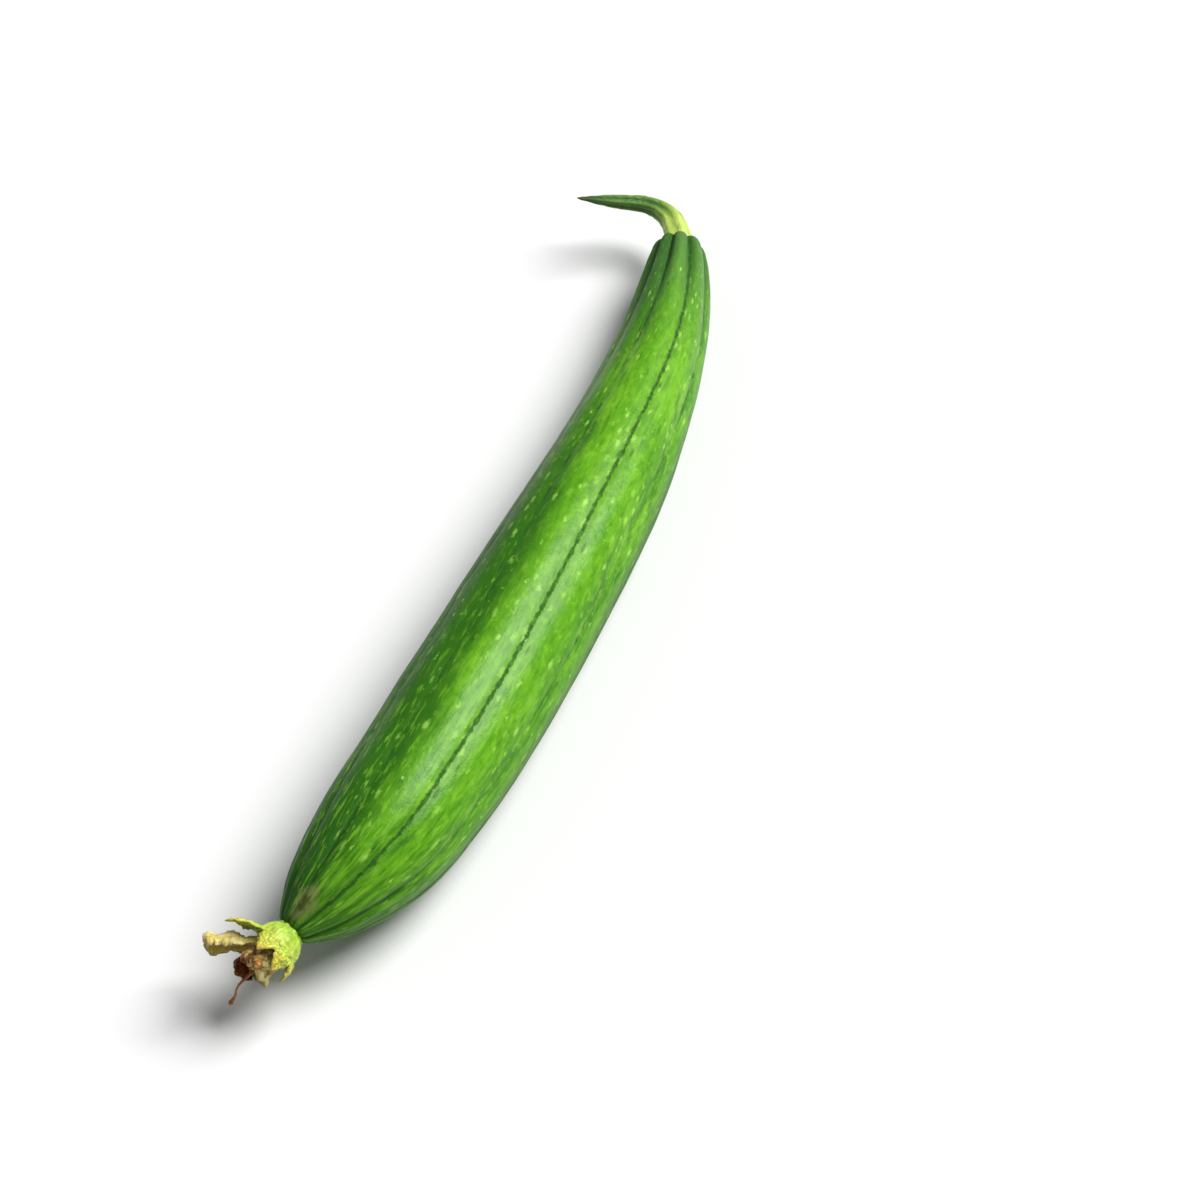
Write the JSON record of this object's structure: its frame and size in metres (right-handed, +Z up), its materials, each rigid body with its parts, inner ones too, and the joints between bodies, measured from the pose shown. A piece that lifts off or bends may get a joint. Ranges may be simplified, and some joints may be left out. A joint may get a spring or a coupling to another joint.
{
  "type": "sponge gourd",
  "caption": "Long bowed green sponge gourd lying on its side, with shallow ribs, a bent cut stalk and a withered flower with its calyx",
  "frame": {"origin": "on the flat spot that the fruit rests on, below the middle of its length", "axes": "+X from the withered flower to the stalk, +Z up, and the fruit bows towards -Y"},
  "size_m": [0.3591, 0.0819, 0.0466],
  "materials": {
    "skin": "satin",
    "stalk": "satin",
    "calyx": "matte",
    "corolla": "matte"
  },
  "bodies": {
    "root": {"fruit": "skin", "stalk": "stalk", "calyx": "calyx", "corolla": "corolla"}
  },
  "joints": []
}
